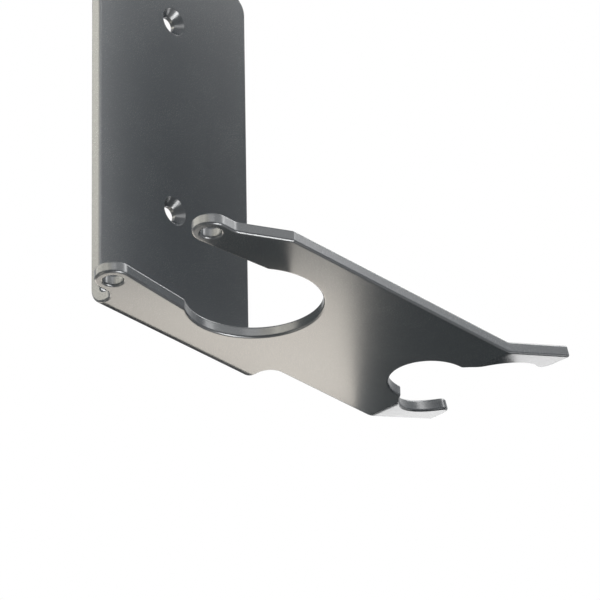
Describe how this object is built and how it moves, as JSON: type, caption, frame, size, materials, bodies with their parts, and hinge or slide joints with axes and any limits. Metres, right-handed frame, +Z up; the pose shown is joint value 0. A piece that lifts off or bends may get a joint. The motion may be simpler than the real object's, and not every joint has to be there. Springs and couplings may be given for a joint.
{
  "type": "charger wall mount",
  "caption": "Folded steel wall bracket with an open round seat for a portable charger, eyes for a cable lock and a folded-up fork that holds the charging connector.",
  "frame": {"origin": "on the wall face of the back plate, midway between the two wall screws", "axes": "+X along the wall towards the connector fork, +Y into the wall, +Z up"},
  "size_m": [0.1992, 0.093, 0.18],
  "materials": {
    "powder_coat": "fine satin powder coat in anthracite grey"
  },
  "bodies": {
    "root": {"bracket": "powder_coat"}
  },
  "joints": []
}
